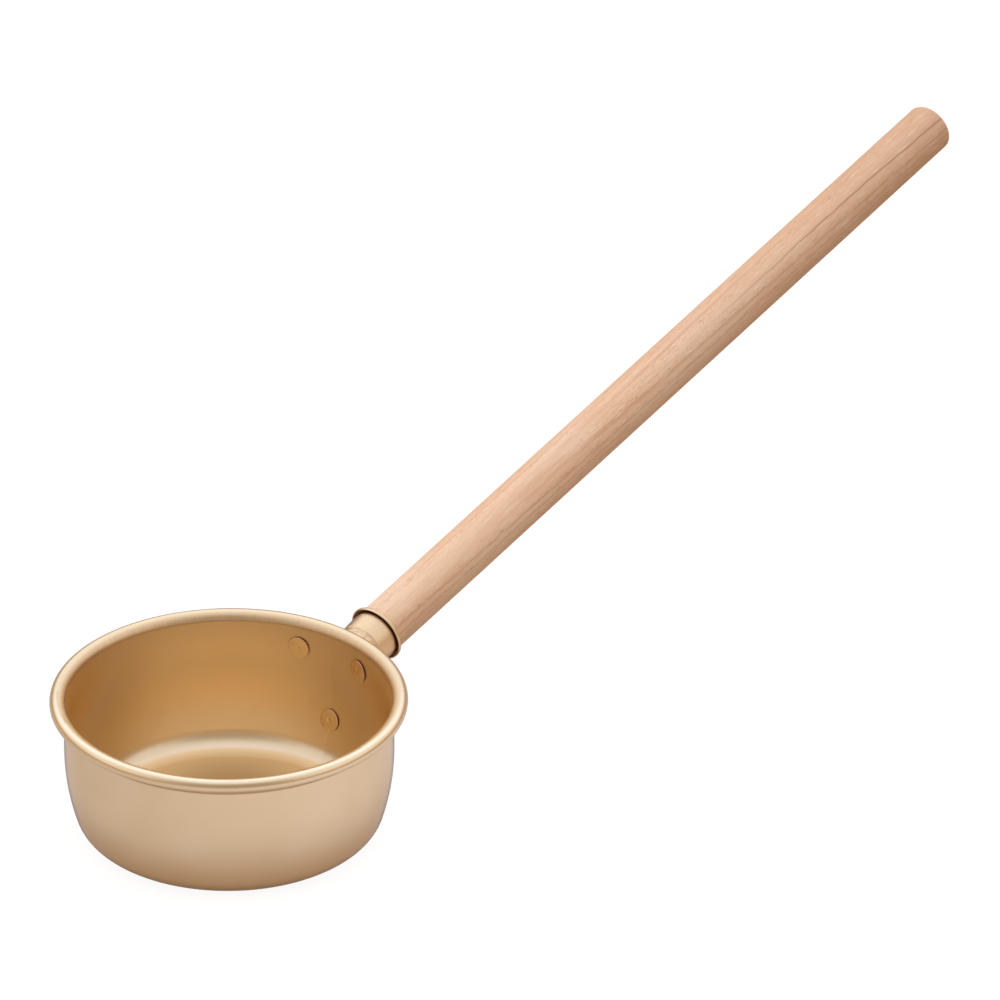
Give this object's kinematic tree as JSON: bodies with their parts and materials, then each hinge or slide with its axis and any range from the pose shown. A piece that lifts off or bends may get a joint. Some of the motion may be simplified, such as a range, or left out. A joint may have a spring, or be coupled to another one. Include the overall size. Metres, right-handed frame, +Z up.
{
  "type": "water dipper",
  "caption": "Long-handled water dipper: a round pressed aluminium bowl with a rolled rim, a riveted drawn socket with a curled lip, and a straight rising wooden handle.",
  "frame": {"origin": "centre of the underside of the bowl's flat base", "axes": "+Z up out of the bowl's mouth, +X along the handle as seen from above, +Y to the left of someone who looks along +X"},
  "size_m": [0.6209, 0.165, 0.157],
  "materials": {
    "bowl_metal": "satin pale gold anodised",
    "socket_metal": "satin pale gold anodised",
    "rivet_metal": "satin pale gold anodised",
    "handle_wood": "sanded, unvarnished",
    "screw_metal": "plain"
  },
  "bodies": {
    "root": {"bowl": "bowl_metal", "handle_socket": "socket_metal", "rivet_left": "rivet_metal", "rivet_right": "rivet_metal", "rivet_lower": "rivet_metal", "handle": "handle_wood", "handle_screw": "screw_metal"}
  },
  "joints": []
}
